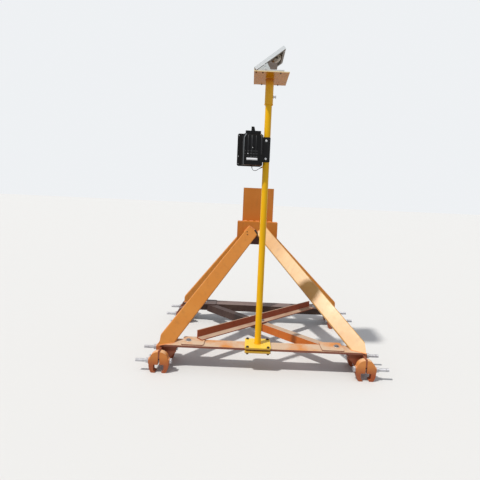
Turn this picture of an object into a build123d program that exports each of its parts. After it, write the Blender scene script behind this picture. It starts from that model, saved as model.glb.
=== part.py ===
from build123d import *
import os
from math import atan2, cos, degrees, hypot, pi, radians, sin, tan

# Temporary railway buffer stop with a warning lamp and a solar panel on a pole.
# X runs across the track, +Y towards the oncoming train, +Z up. The origin is the middle of
# the overall box, at the level of the claw tips, on which the stop stands when it is off the
# rails. Heights above the rail are added to rail_top. All lengths are millimetres.

# Track
gauge = 1435
rail_head_width = 72
rail_head_depth = 40
rail_web_gap = 44
rail_x = (gauge + rail_head_width) / 2

# Rail clamps
claw_drop = 58
jaw_length = 48
jaw_half_width = 72
jaw_height = 96
jaw_gap = 12
jaw_shoulder = 34
jaw_pad = 42
pad_rise = 4
head_clearance = 1.5
clamp_pitch = 244
rod_diameter = 24
rod_height = 24
rod_tail = 96
rod_head_thickness = 15
nut_thickness = 19
rod_flats = 36
hole_clearance = 1

# Feet
foot_web_depth = 58
foot_core_length = 176
sole_width = 110
sole_thickness = 12
cheek_thickness = 12
cheek_reach = 108
cheek_lip = 40

# Crossbars
bar_top = 120
bar_width = 130
bar_length = 1536
bar_corner = 8
rear_bar_thickness = 16
front_bar_thickness = 12
front_bar_drop = 65
wheelbase = 1076

# Legs
leg_width = 120
rear_leg_depth = 60
front_leg_depth = 80
leg_wall = 6
leg_corner = 9
rear_leg_foot_x = 702
rear_leg_foot_rise = 49
rear_leg_head_x = 32
rear_leg_head_rise = 152
rear_leg_roll = 27
rear_leg_tip = 6
leg_gap = 6
front_leg_foot_x = 705
front_leg_foot_height = 160
front_leg_head_x = 155
front_leg_head_rise = 27

# Head
head_bottom = 748
head_x = -60
head_setback = 16
crosshead_width = 400
crosshead_height = 224
crosshead_depth = 120
crosshead_wall = 10
striking_width = 310
striking_height = 563
striking_thickness = 25
striking_corner = 6

# X-brace
brace_leg = 65
brace_thickness = 8
brace_turn = 43.3
upper_brace_shift = -24
lower_brace_shift = -6
brace_plate_width = 168
brace_plate_depth = 158
brace_plate_overhang = 34
brace_plate_out = 25
brace_bolt_out = 39
brace_bolt_inset = 44
brace_bolt_diameter = 16
packer_diameter = 60

# Pole
pole_x = -38
pole_diameter = 48.3
pole_wall = 4
pole_height = 2108
pole_plate_width = 194
pole_plate_depth = 190
pole_plate_thickness = 12
pole_plate_shift = 8
pole_plate_corner = 10

# Panel head, which turns on the pole
sleeve_diameter = 60.3
sleeve_clearance = 1
sleeve_length = 190
sleeve_ring_height = 8
sleeve_ring_rise = 1.5
seat_gap = 0.3
set_screw_diameter = 10
set_screw_drop = 60
set_screw_length = 20
set_screw_flats = 17
set_screw_nut = 7
spot_face = 0.6
top_plate_width = 246
top_plate_depth = 344
top_plate_shift = 6
top_plate_thickness = 6
top_plate_lip = 16
panel_length = 320
panel_width = 250
panel_frame_depth = 25
panel_wall = 2
panel_flange = 22
panel_tilt = 38
panel_low_x = -101
panel_low_rise = 6
laminate_thickness = 5
laminate_drop = 1
bracket_sheet = 3
bracket_flange = 28
bracket_left = -94
bracket_right = 92
bracket_strip = 14
ear_right = -28
ear_gap = 5
tilt_plate_rise = 12
tilt_plate_right = 42
tilt_plate_height = 50
tilt_plate_corner = 14
box_length = 60
box_width = 84
box_depth = 18
box_up_slope = 190
gland_diameter = 10
gland_length = 6
cable_diameter = 4
cable_sides = 10
cable_run = 17
cable_bearings = (-90, -50, -8, 28, 38, 26)
panel_cable_route = ((0, 0, 0), (0, -22, 0), (-8, -42, -9), (-24, -58, -26), (-42, -70, -47),
                     (-57, -86, -64))

# Lamp
lamp_bottom = 1475
lamp_width = 148
lamp_height = 226
lamp_depth = 96
lamp_corner = 9
lamp_shoulder = 14
lamp_neck_width = 112
lamp_neck_depth = 74
lamp_neck_height = 20
lamp_fin_width = 30
lamp_fin_height = 34
lamp_fin_thickness = 14
lamp_rib_width = 9
lamp_rib_rise = 4
lamp_rib_x = 46
louvre_count = 5
louvre_pitch = 9
louvre_width = 70
louvre_height = 4
louvre_depth = 3
board_width = 184
board_height = 240
board_thickness = 4
board_corner = 14
board_drop = 7
board_inset = 4
lens_diameter = 110
lens_rise = 34
bezel_width = 9
bezel_depth = 14
bracket_height = 182
bracket_rise = 25
bracket_plate = 4
bracket_width = 50
bracket_reach = 34
lamp_y_offset = -20

# Derived places, before the frame's Y zero is set
rail_top = claw_drop
bar_z = rail_top + bar_top
foot_y = wheelbase / 2
plate_y = -foot_y + pole_plate_shift
pole_y = plate_y
rear_end = pole_y - top_plate_depth / 2
front_end = foot_y + clamp_pitch / 2 + jaw_length / 2
frame_shift = -(rear_end + front_end) / 2
clamp_ends = (-clamp_pitch / 2, clamp_pitch / 2)
inner_edge = foot_y - bar_width / 2
head_z = rail_top + head_bottom
head_rear = foot_y - crosshead_depth / 2 - head_setback
head_front = head_rear + crosshead_depth
head_box = (head_x - crosshead_width / 2, head_x + crosshead_width / 2, head_rear, head_front,
            head_z, head_z + crosshead_height)
plate_z = rail_top + pole_height + seat_gap
deck_z = plate_z + top_plate_thickness
nodes = {}


def add(name, *solids):
    """Keep one named sub-part of one or more solids, in the final frame."""
    placed = [Pos(0, frame_shift, 0) * solid for solid in solids]
    nodes[name] = placed[0] if len(placed) == 1 else Compound(children=placed)


def block(x0, x1, y0, y1, z0, z1):
    """A box between two corners."""
    return Pos((x0 + x1) / 2, (y0 + y1) / 2, (z0 + z1) / 2) * Box(x1 - x0, y1 - y0, z1 - z0)


def round_bar(direction, start, length, diameter):
    """A round bar from a start point along a direction."""
    return extrude(Plane(origin=start, z_dir=direction) * Circle(diameter / 2), length)


def hexagon(direction, start, length, flats):
    """A hexagonal head or nut from a start point along a direction."""
    plane = Plane(origin=start, z_dir=direction)
    return extrude(plane * RegularPolygon(flats / 2, 6, major_radius=False), length)


def bolt(x, y, z_under, z_over, diameter):
    """A vertical bolt with its head over the plates and its nut under them."""
    flats = diameter * 1.6
    shank = round_bar((0, 0, 1), (x, y, z_under), z_over - z_under, diameter)
    head = hexagon((0, 0, 1), (x, y, z_over), diameter * 0.65, flats)
    return shank + head + hexagon((0, 0, -1), (x, y, z_under), diameter * 0.8, flats)


def hole(x, y, z, diameter):
    """The vertical hole that a bolt of this diameter passes through."""
    return round_bar((0, 0, 1), (x, y, z - 100), 200, diameter + 2 * hole_clearance)


brace_half_length = inner_edge / sin(radians(brace_turn))
brace_plate_x = brace_half_length * cos(radians(brace_turn)) + brace_plate_out
brace_bolt_x = brace_plate_x + brace_bolt_out
bolt_y = inner_edge + brace_bolt_inset


def plate_bolt_holes(end):
    """The holes for the two bolts that hold the brace's plates to one crossbar."""
    return [hole(side * brace_bolt_x, end * bolt_y, bar_z, brace_bolt_diameter) for side in (-1, 1)]


# Crossbars
def rear_crossbar():
    """A flat bar that lies across both rear feet."""
    bar = block(-bar_length / 2, bar_length / 2, -foot_y - bar_width / 2, -foot_y + bar_width / 2,
                bar_z - rear_bar_thickness, bar_z)
    return fillet(bar.edges().filter_by(Axis.Z), bar_corner) - plate_bolt_holes(-1)


def angle_section(flange, web, thickness):
    """A rolled angle's section, heel at the origin, with a root fillet and rounded toes."""
    outline = Polyline((0, 0), (flange, 0), (flange, -thickness), (thickness, -thickness),
                       (thickness, -web), (0, -web), close=True)
    section = fillet_near(make_face(outline), (thickness, -thickness), thickness)
    section = fillet_near(section, (flange, -thickness), thickness * 0.45)
    return fillet_near(section, (thickness, -web), thickness * 0.45)


def fillet_near(section, corner, radius):
    """Round the one corner of a flat section that is nearest to a point."""
    return fillet(section.vertices().sort_by_distance(corner)[0], radius)


def front_crossbar():
    """An angle with its wide flange flat on the front feet and its web hanging at the rear."""
    plane = Plane(origin=(-bar_length / 2, inner_edge, bar_z), x_dir=(0, 1, 0), z_dir=(1, 0, 0))
    bar = extrude(plane * angle_section(bar_width, front_bar_drop, front_bar_thickness), bar_length)
    return bar - plate_bolt_holes(1)


# Clamps
def jaw_profile():
    """The whole jaw from the side: humped back, seat over the rail head, claw under it."""
    seat = rail_head_width / 2 + head_clearance
    tip = rail_web_gap / 2
    line = Line((jaw_gap / 2, head_clearance), (jaw_gap / 2, jaw_height))
    width, drop = jaw_half_width, claw_drop
    crown = ThreePointArc(line @ 1, (width * 0.64, jaw_height * 0.84), (width - 5, jaw_shoulder))
    flank = ThreePointArc(crown @ 1, (width, -4), (width - 10, -drop + 15))
    toe = ThreePointArc(flank @ 1, (width - 17, -drop + 4), (width - 27, -drop))
    claw = Polyline(toe @ 1, (tip + 6, -drop), (tip, -drop + 6), (seat, -rail_head_depth),
                    (seat, head_clearance), (jaw_gap / 2, head_clearance))
    return make_face(line + crown + flank + toe + claw)


def jaw(side):
    """A cast half clamp: the profile, a raised pad for the nut or head, and the rod's hole."""
    body = extrude(Plane.XZ * jaw_profile(), jaw_length / 2, both=True)
    half = jaw_pad / 2
    pad = block(jaw_half_width / 2, pad_face, -half, half, rod_height - half, rod_height + half)
    pad = chamfer(pad.edges().filter_by(Axis.X), jaw_pad / 6)
    rod_hole = rod_diameter + 2 * hole_clearance
    bore = round_bar((1, 0, 0), (-10, 0, rod_height), 2 * jaw_half_width, rod_hole)
    shape = body + pad - bore
    return shape if side > 0 else mirror(shape, Plane.YZ)


pad_face = jaw_half_width + pad_rise


def clamp_rod(side):
    """A through rod with its head on the inner jaw's pad and a nut on the outer jaw's pad."""
    out, back = (side, 0, 0), (-side, 0, 0)
    inner, outer = (-side * pad_face, 0, rod_height), (side * pad_face, 0, rod_height)
    shank = round_bar(out, inner, 2 * pad_face + rod_tail, rod_diameter)
    nut = hexagon(out, outer, nut_thickness, rod_flats)
    return shank + hexagon(back, inner, rod_head_thickness, rod_flats) + nut


# Feet
def foot(outward, bar_thickness):
    """A welded foot: sole on the rail, web between the jaws and two cheeks under the crossbar."""
    top = bar_z - bar_thickness
    half = clamp_pitch / 2 + jaw_length / 2
    core = foot_core_length / 2
    thick = jaw_gap / 2
    lobe = top - foot_web_depth
    side_view = Polyline((-core, rail_top), (core, rail_top), (core, lobe), (half, lobe), (half, top),
                         (-half, top), (-half, lobe), (-core, lobe), close=True)
    web = extrude(Plane.YZ * make_face(side_view), thick, both=True)
    sole = block(-sole_width / 2, sole_width / 2, -core, core, rail_top, rail_top + sole_thickness)
    sole = chamfer(sole.faces().sort_by(Axis.Z)[-1].edges(), 4)
    shape = web + sole
    base = rail_top + sole_thickness
    outline = Polyline((0, base), (0, top), (-cheek_reach, top), (-cheek_reach, top - cheek_lip),
                       (-sole_width / 2 + 6, base), close=True)
    cheek = extrude(Plane.XZ * make_face(outline), cheek_thickness / 2, both=True)
    if outward < 0:
        cheek = mirror(cheek, Plane.YZ)
    for end in (-1, 1):
        shape += Pos(0, end * (bar_width / 2 - 1.5 * cheek_thickness), 0) * cheek
    return shape


# Legs
def bar_along(start, end, x_dir, width, depth, corner, tip):
    """A solid bar with rounded corners along a line, longer than needed at its foot."""
    extra = 200
    run = end - start
    plane = Plane(origin=start, x_dir=x_dir, z_dir=run)
    profile = plane.offset(-extra) * RectangleRounded(width, depth, corner)
    return extrude(profile, run.length + extra + tip)


def capped_tube(start, end, x_dir, width, depth, keep, tip, trim=None):
    """A rectangular hollow section cut to the keep box, with a plate closing each cut end.

    The trim takes a margin and gives what is cut off the tube, grown by that margin."""
    w = leg_wall
    outer = bar_along(start, end, x_dir, width, depth, leg_corner, tip) & block(*keep)
    void = bar_along(start, end, x_dir, width - 2 * w, depth - 2 * w, leg_corner - w, tip - w)
    void = void & block(keep[0] + w, keep[1] - w, keep[2] + w, keep[3] - w, keep[4] + w, keep[5] - w)
    if trim:
        outer = (outer - trim(0)).solids().sort_by(Axis.Z)[0]
        void = (void - trim(w)).solids().sort_by(Axis.Z)[0]
    return outer - void


def rear_leg_line(side):
    """A rear leg's axis from foot to head, and its wide face's way across.

    The driving sizes place the middle of the wide face that looks back."""
    start = Vector(side * rear_leg_foot_x, -foot_y, bar_z + rear_leg_foot_rise)
    end = Vector(head_x + side * rear_leg_head_x, head_rear, head_z + rear_leg_head_rise)
    run = (end - start).normalized()
    level = (Vector(1, 0, 0) - run * run.dot(Vector(1, 0, 0))).normalized()
    across = level.rotate(Axis((0, 0, 0), tuple(run)), -side * rear_leg_roll)
    inward = run.cross(across) * (rear_leg_depth / 2)
    return start + inward, end + inward, across


def rear_leg(side):
    """A long raking leg, square-cut at its top, from the rear crossbar's end to the crosshead."""
    start, end, across = rear_leg_line(side)
    half = bar_length / 2
    keep = (-half, half, -3 * foot_y, head_rear, bar_z, head_z + 2 * crosshead_height)
    trim = left_leg_room if side > 0 else None
    return capped_tube(start, end, across, leg_width, rear_leg_depth, keep, rear_leg_tip, trim)


def left_leg_room(margin):
    """The left rear leg's outside and a gap round it, which the right rear leg is cut back from."""
    grow = 2 * (leg_gap + margin)
    start, end, across = rear_leg_line(-1)
    width, depth = leg_width + grow, rear_leg_depth + grow
    return bar_along(start, end, across, width, depth, leg_corner, rear_leg_tip + grow / 2)


def front_leg(side):
    """A short steep leg from the front crossbar's end to the side and underside of the crosshead."""
    start = Vector(side * front_leg_foot_x, foot_y, rail_top + front_leg_foot_height)
    end = Vector(head_x + side * front_leg_head_x, foot_y, head_z + front_leg_head_rise)
    x0, x1 = sorted((head_x, side * bar_length / 2))
    keep = (x0, x1, 0, 3 * foot_y, bar_z, head_z + crosshead_height)
    across = Vector(0, 1, 0)
    return capped_tube(start, end, across, front_leg_depth, leg_width, keep, crosshead_width, head_room)


def head_room(margin):
    """The crosshead's outside, which the front legs are cut back from."""
    x0, x1, y0, y1, z0, z1 = head_box
    return block(x0 - margin, x1 + margin, y0 - margin, y1 + margin, z0 - margin, z1 + margin)


# Head
def crosshead():
    """A welded box that takes all four legs, closed at its ends."""
    w = crosshead_wall
    x0, x1, y0, y1, z0, z1 = head_box
    outer = block(*head_box)
    return outer - block(x0 + w, x1 - w, y0 + w, y1 - w, z0 + w, z1 - w)


def striking_plate():
    """The upright plate in front of the crosshead that takes the blow."""
    plate = block(head_x - striking_width / 2, head_x + striking_width / 2, head_front,
                  head_front + striking_thickness, head_z, head_z + striking_height)
    return chamfer(plate.faces().sort_by(Axis.Y)[-1].edges(), striking_corner)


# X-brace
def angle_brace(z_heel, up):
    """An angle across the frame, cut square at its ends, with its flange flat."""
    turn = 1 if up else -1
    middle = (upper_brace_shift if up else lower_brace_shift) + turn * brace_leg / 2
    plane = Plane(origin=(-brace_half_length, middle, z_heel), x_dir=(0, -turn, 0), z_dir=(1, 0, 0))
    bar = extrude(plane * angle_section(brace_leg, brace_leg, brace_thickness), 2 * brace_half_length)
    return Rot(0, 0, turn * brace_turn) * bar


def x_brace():
    """Two crossed angles, four plates bolted to the crossbars, and a packer and bolt where they cross."""
    bend = radians(brace_turn)
    cross = ((lower_brace_shift - upper_brace_shift) / (2 * sin(bend)),
             (lower_brace_shift + upper_brace_shift) / (2 * cos(bend)))
    top = bar_z + brace_thickness
    bolts = [bolt(*cross, bar_z - brace_thickness, top + brace_thickness, brace_bolt_diameter)]
    plates = []
    for end, bar_thickness in ((-1, rear_bar_thickness), (1, front_bar_thickness)):
        holes = plate_bolt_holes(end)
        near = inner_edge - brace_plate_overhang
        y0, y1 = sorted((end * near, end * (near + brace_plate_depth)))
        for side in (-1, 1):
            x0 = side * brace_plate_x - brace_plate_width / 2
            plate = block(x0, x0 + brace_plate_width, y0, y1, bar_z, top)
            plates.append(chamfer(plate.edges().filter_by(Axis.Z), 10) - holes)
            bolts.append(bolt(side * brace_bolt_x, end * bolt_y, bar_z - bar_thickness, top,
                              brace_bolt_diameter))
    middle_hole = hole(*cross, bar_z, brace_bolt_diameter)
    packer = round_bar((0, 0, 1), (*cross, bar_z), brace_thickness, packer_diameter) - middle_hole
    between = block(-bar_length, bar_length, -inner_edge, inner_edge, -500, 2000)
    add("brace_plates", *plates, packer)
    add("brace_lower", (angle_brace(bar_z, False) & between) - middle_hole)
    add("brace_upper", angle_brace(top, True) - middle_hole)
    add("brace_bolts", *bolts)


# Pole
def pole_plate(z0):
    """One of the two plates bolted together round the rear crossbar."""
    plate = block(pole_x - pole_plate_width / 2, pole_x + pole_plate_width / 2,
                  plate_y - pole_plate_depth / 2, plate_y + pole_plate_depth / 2,
                  z0, z0 + pole_plate_thickness)
    return fillet(plate.edges().filter_by(Axis.Z), pole_plate_corner)


lamp_z = rail_top + lamp_bottom
bracket_z = lamp_z + bracket_rise
bracket_x = pole_x - pole_diameter / 2 - hole_clearance
lamp_right = bracket_x - bracket_plate
lamp_x = lamp_right - lamp_width / 2
lamp_y = pole_y + lamp_y_offset
pole_front = pole_y - pole_diameter / 2
cable_points = [Vector(lamp_x, pole_y, lamp_z - gland_length)]
for bearing in cable_bearings:
    step = Vector(cos(radians(bearing)), 0, sin(radians(bearing))) * cable_run
    cable_points.append(cable_points[-1] + step)
cable_end = cable_points[-1]
for point in cable_points:
    print("lamp cable point", [round(v, 2) for v in (point.X, point.Y + frame_shift, point.Z)])


def pole():
    """A tube welded to its plate, with a slanted gland for the lamp's cable."""
    base = bar_z + pole_plate_thickness
    length = rail_top + pole_height - base
    bore = round_bar((0, 0, 1), (pole_x, pole_y, base - 1), length + 2, pole_diameter - 2 * pole_wall)
    slant = (cable_end - cable_points[-2]).normalized()
    reach = (pole_x - pole_diameter / 2 + pole_wall / 2 - cable_end.X) / slant.X
    gland = round_bar(tuple(slant), tuple(cable_end), reach, gland_diameter)
    return round_bar((0, 0, 1), (pole_x, pole_y, base), length, pole_diameter) - bore + (gland - bore)


# Lamp
def lamp_bracket():
    """A bent plate across the pole's back and along the side of the lamp."""
    y0 = pole_front - bracket_plate
    z0, z1 = bracket_z, bracket_z + bracket_height
    arm = block(lamp_right, lamp_right + bracket_plate, y0, y0 + bracket_reach, z0, z1)
    face = block(lamp_right, bracket_x + bracket_width, y0, pole_front, z0, z1)
    face = fillet(face.faces().sort_by(Axis.X)[-1].edges().filter_by(Axis.Y), 8)
    return arm + face


def lamp_housing():
    """A moulded case with shoulders, a neck, a top fin, back ribs and louvres."""
    back = lamp_y - lamp_depth / 2
    case = block(lamp_x - lamp_width / 2, lamp_right, back, back + lamp_depth, lamp_z, lamp_z + lamp_height)
    case = chamfer(case.faces().sort_by(Axis.Z)[-1].edges(), lamp_shoulder)
    case = fillet(case.edges().filter_by(Axis.Z), lamp_corner)
    top = lamp_z + lamp_height
    neck = RectangleRounded(lamp_neck_width, lamp_neck_depth, lamp_corner)
    neck = Pos(lamp_x, lamp_y, top - 2) * extrude(neck, lamp_neck_height + 2)
    neck_top = top + lamp_neck_height
    half = lamp_fin_width / 2
    fin = make_face(Polyline((-half, -2), (half, -2), (lamp_fin_width / 5, lamp_fin_height),
                             (-half, lamp_fin_height), close=True))
    fin = Pos(lamp_x, lamp_y, neck_top) * extrude(Plane.XZ * fin, lamp_fin_thickness / 2, both=True)
    shape = case + neck + fin
    for side in (-1, 1):
        x = lamp_x + side * lamp_rib_x
        shape += block(x - lamp_rib_width / 2, x + lamp_rib_width / 2, back - lamp_rib_rise, back + 2,
                       lamp_z + 8, top - lamp_shoulder)
    middle = lamp_z + lamp_height * 0.42
    for step in range(louvre_count):
        z = middle + step * louvre_pitch
        shape -= block(lamp_x - louvre_width / 2, lamp_x + louvre_width / 2, back - 1, back + louvre_depth,
                       z, z + louvre_height)
    gland = round_bar((0, 0, -1), (lamp_x, pole_y, lamp_z + 1), gland_length + 1, gland_diameter)
    return shape + gland


board_y = lamp_y + lamp_depth / 2
lens_z = lamp_z + lamp_height * 0.56


def lamp_board():
    """The square-cornered board that the case is mounted on, with the bezel of the lens."""
    right = lamp_right - board_inset
    z0 = lamp_z - board_drop
    board = block(right - board_width, right, board_y, board_y + board_thickness, z0, z0 + board_height)
    board = fillet(board.edges().filter_by(Axis.Y), board_corner)
    start = (lamp_x, board_y + board_thickness, lens_z)
    bezel = round_bar((0, 1, 0), start, bezel_depth, lens_diameter + 2 * bezel_width)
    bezel -= round_bar((0, 1, 0), start, bezel_depth, lens_diameter)
    return board + bezel


def lamp_lens():
    """A stepped dome in its bezel."""
    radius = lens_diameter / 2 - 0.5
    edge = bezel_depth - 4
    profile = Polyline((0, 0), (radius, 0), (radius, edge), (radius * 0.86, edge + lens_rise * 0.5),
                       (radius * 0.5, edge + lens_rise * 0.9), (0, edge + lens_rise), close=True)
    dome = make_face(profile)
    solid = revolve(Plane.XZ * dome, Axis.Z)
    place = Plane(origin=(lamp_x, board_y + board_thickness, lens_z), x_dir=(1, 0, 0), z_dir=(0, 1, 0))
    return place.location * solid


def cable(label, points):
    """A cable of straight runs joined by arcs."""
    radii = []
    for before, at, after in zip(points, points[1:], points[2:]):
        turn = radians((at - before).get_angle(after - at))
        radii.append(0.45 * min((at - before).length, (after - at).length) / tan(turn / 2))
    route = FilletPolyline(*points, radius=radii)
    start = Plane(origin=points[0], z_dir=points[1] - points[0])
    made = sweep(start * RegularPolygon(cable_diameter / 2, cable_sides), path=route)
    section = pi * cable_diameter ** 2 / 4
    print(label, "length", round(route.length, 1), "radii", [round(r, 1) for r in radii],
          "volume", round(made.volume), "of", round(section * route.length))
    return made


# Panel head
def sleeve():
    """The tube that turns on the pole, ringed at its foot."""
    low = plate_z - sleeve_length
    outer = sleeve_diameter / 2
    ring = outer + sleeve_ring_rise
    ring_top = low + sleeve_ring_height
    profile = Polyline((0, low), (ring, low), (ring, ring_top), (outer, ring_top), (outer, plate_z),
                       (0, plate_z), close=True)
    body = Pos(pole_x, pole_y, 0) * revolve(Plane.XZ * make_face(profile), Axis.Z)
    bore = pole_diameter + 2 * sleeve_clearance
    body -= round_bar((0, 0, 1), (pole_x, pole_y, low - 1), sleeve_length + 2, bore)
    flats = set_screw_flats
    spot = block(screw_nut_x, screw_nut_x + sleeve_diameter, pole_y - flats, pole_y + flats,
                 screw_z - flats, screw_z + flats)
    return body - screw_bar(hole_clearance) - spot


screw_z = plate_z - sleeve_length + set_screw_drop
screw_nut_x = pole_x + sleeve_diameter / 2 - spot_face


def screw_bar(grow):
    """The set screw's shank, or its hole when grown."""
    start = pole_x + pole_diameter / 2 + (0 if grow else seat_gap)
    return round_bar((1, 0, 0), (start, pole_y, screw_z), set_screw_length, set_screw_diameter + 2 * grow)


def sleeve_screw():
    """The set screw, with a lock nut on the sleeve and a hexagonal head."""
    head_x = pole_x + pole_diameter / 2 + seat_gap + set_screw_length
    nut = hexagon((1, 0, 0), (screw_nut_x, pole_y, screw_z), set_screw_nut, set_screw_flats)
    return screw_bar(0) + nut + hexagon((1, 0, 0), (head_x, pole_y, screw_z), set_screw_nut, set_screw_flats)


cheek_y = panel_length / 2 - bracket_sheet / 2


def top_plate():
    """The plate under the panel, with a turned-up edge on its low side."""
    x0 = pole_x + top_plate_shift - top_plate_width / 2
    y0, y1 = pole_y - top_plate_depth / 2, pole_y + top_plate_depth / 2
    plate = block(x0, x0 + top_plate_width, y0, y1, plate_z, deck_z)
    return plate + block(x0, x0 + top_plate_thickness / 2, y0, y1, plate_z, plate_z + top_plate_lip)


slope = radians(panel_tilt)
panel_place = Plane(origin=(pole_x + panel_low_x, pole_y, deck_z + panel_low_rise),
                    x_dir=(cos(slope), 0, sin(slope)), z_dir=(-sin(slope), 0, cos(slope))).location


def on_panel(x0, x1, y0, y1, z0, z1):
    """A box in the tilted panel's own frame, X up the slope."""
    return panel_place * block(x0, x1, y0, y1, z0, z1)


def under_panel(x):
    """The height of the panel's underside over the plate, at a distance from the pole's axis."""
    return panel_low_rise + (x - panel_low_x) * tan(slope)


def panel_point(x, y, z):
    """A point of the tilted panel's own frame."""
    return Vector(pole_x + panel_low_x + x * cos(slope) - z * sin(slope), pole_y + y,
                  deck_z + panel_low_rise + x * sin(slope) + z * cos(slope))


def panel_frame():
    """A thin-walled aluminium rim with a flange turned in under the laminate."""
    half, w, f = panel_length / 2, panel_wall, panel_flange
    rim = on_panel(0, panel_width, -half, half, 0, panel_frame_depth)
    rim -= on_panel(w, panel_width - w, -half + w, half - w, w, panel_frame_depth + 1)
    return rim - on_panel(f, panel_width - f, -half + f, half - f, -1, panel_frame_depth)


def laminate():
    """The glass and cells, set a little below the rim."""
    half, w = panel_length / 2, panel_wall
    top = panel_frame_depth - laminate_drop
    return on_panel(w, panel_width - w, -half + w, half - w, top - laminate_thickness, top)


box_top = panel_frame_depth - laminate_drop - laminate_thickness
box_gland_z = box_top - box_depth / 2


def junction_box():
    """The lidded box on the back of the laminate."""
    x0 = box_up_slope - box_length / 2
    body = on_panel(x0, x0 + box_length, -box_width / 2, box_width / 2, box_top - box_depth, box_top)
    lid = on_panel(x0 + 5, x0 + box_length - 5, -box_width / 2 + 5, box_width / 2 - 5,
                   box_top - box_depth - 3, box_top)
    gland_start = (box_up_slope, 1 - box_width / 2, box_gland_z)
    gland = round_bar((0, -1, 0), gland_start, gland_length + 1, gland_diameter)
    return body + lid + panel_place * gland


def panel_cable():
    """The cable from the gland on the box, under the frame, to the inside of the near tilt plate."""
    start = panel_point(box_up_slope, -box_width / 2 - gland_length, box_gland_z)
    points = [start + Vector(*step) for step in panel_cable_route]
    plate_face = pole_y - cheek_y + bracket_sheet * 1.5
    points.append(Vector(points[-1].X, plate_face, points[-1].Z))
    for point in points:
        print("panel cable point", [round(v, 2) for v in (point.X, point.Y + frame_shift, point.Z)])
    return cable("panel cable", points)


def bracket_cheek(side):
    """A bent sheet with a foot on the plate, a low strip and an ear at the panel's low side."""
    left, right, ear = bracket_left, bracket_right, ear_right
    outline = Polyline((left, 0), (right, 0), (right, bracket_strip), (ear + 24, bracket_strip),
                       (ear, under_panel(ear) - ear_gap), (left, under_panel(left) - ear_gap), close=True)
    cheek = extrude(Plane.XZ * make_face(outline), bracket_sheet / 2, both=True)
    shape = cheek + block(left, right, -bracket_flange, bracket_sheet / 2, 0, bracket_sheet)
    return Pos(pole_x, pole_y + side * cheek_y, deck_z) * (shape if side > 0 else mirror(shape, Plane.XZ))


def tilt_plate(side):
    """A plate on the panel's underside, bolted to the inside of the ear, with a rounded free end."""
    rise, right, top = tilt_plate_rise, tilt_plate_right, tilt_plate_rise + tilt_plate_height
    left = panel_low_x + (rise + 2 - panel_low_rise) / tan(slope)
    meets = ear_right + 2 * tilt_plate_corner
    outline = Polyline((left, rise), (right, rise), (right, top), (meets, top),
                       (meets - 12, under_panel(meets - 12)), (left, under_panel(left)), close=True)
    face = make_face(outline)
    for corner in ((right, rise), (right, top)):
        face = fillet_near(face, corner, tilt_plate_corner)
    plate = extrude(Plane.XZ * face, bracket_sheet / 2, both=True)
    return Pos(pole_x, pole_y + side * (cheek_y - bracket_sheet), deck_z) * plate


# Build and write every sub-part
add("rear_crossbar", rear_crossbar())
add("front_crossbar", front_crossbar())
for side_name, side in (("left", -1), ("right", 1)):
    spots = []
    for end_name, end_y, thickness, bar in (("rear", -foot_y, rear_bar_thickness, rear_crossbar()),
                                            ("front", foot_y, front_bar_thickness, front_crossbar())):
        place = Pos(side * rail_x, end_y, 0)
        here = [place * Pos(0, y, rail_top) for y in clamp_ends]
        spots += here
        add(f"{end_name}_{side_name}_foot", place * foot(side, thickness) - bar)
        add(f"{end_name}_{side_name}_clamp_rods", *[spot * clamp_rod(side) for spot in here])
    add(f"{side_name}_outer_jaws", *[spot * jaw(side) for spot in spots])
    add(f"{side_name}_inner_jaws", *[spot * jaw(-side) for spot in spots])
add("crosshead", crosshead())
add("striking_plate", striking_plate())
for side_name, side in (("left", -1), ("right", 1)):
    add(f"rear_leg_{side_name}", rear_leg(side))
    add(f"front_leg_{side_name}", front_leg(side))
x_brace()
add("pole_foot_plate", pole_plate(bar_z))
add("pole_clamp_plate", pole_plate(bar_z - rear_bar_thickness - pole_plate_thickness))
add("pole", pole())
add("lamp_bracket", lamp_bracket())
add("lamp_housing", lamp_housing())
add("lamp_board", lamp_board())
add("lamp_lens", lamp_lens())
add("lamp_cable", cable("lamp cable", cable_points))
add("sleeve", sleeve())
add("sleeve_screw", sleeve_screw())
add("top_plate", top_plate())
add("panel_bracket", *[bracket_cheek(side) for side in (-1, 1)])
add("panel_tilt_plates", *[tilt_plate(side) for side in (-1, 1)])
add("panel_frame", panel_frame())
add("panel_laminate", laminate())
add("junction_box", junction_box())
add("panel_cable", panel_cable())

os.makedirs("parts", exist_ok=True)
for name, shape in nodes.items():
    export_step(shape, f"parts/{name}.step")
whole = Compound(children=list(nodes.values())).bounding_box()
print("nodes", len(nodes))
print("box", whole.min, whole.max, whole.size)
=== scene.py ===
# %% [markdown]
# # A temporary railway buffer stop
# Two crossbars and four sloping legs of painted steel carry a head that meets a vehicle's buffer.
# A pole at the rear holds a warning lamp and a small solar panel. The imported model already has
# every rigid piece as a mesh, so nothing of that is modelled again. This file dresses it: weld
# beads, small bolts and washers, the lamp's trim, the solar cells, and procedural paint, metal,
# plastic and glass. All lengths are metres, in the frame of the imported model: X across, +Y from
# the pole to the head's striking side, +Z up. The cells run from top to bottom, and each one uses
# only what the cells above it have made.

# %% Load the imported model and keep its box
from math import cos, pi, radians, sin

import bmesh
import bpy
from mathutils import Matrix, Vector


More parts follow.
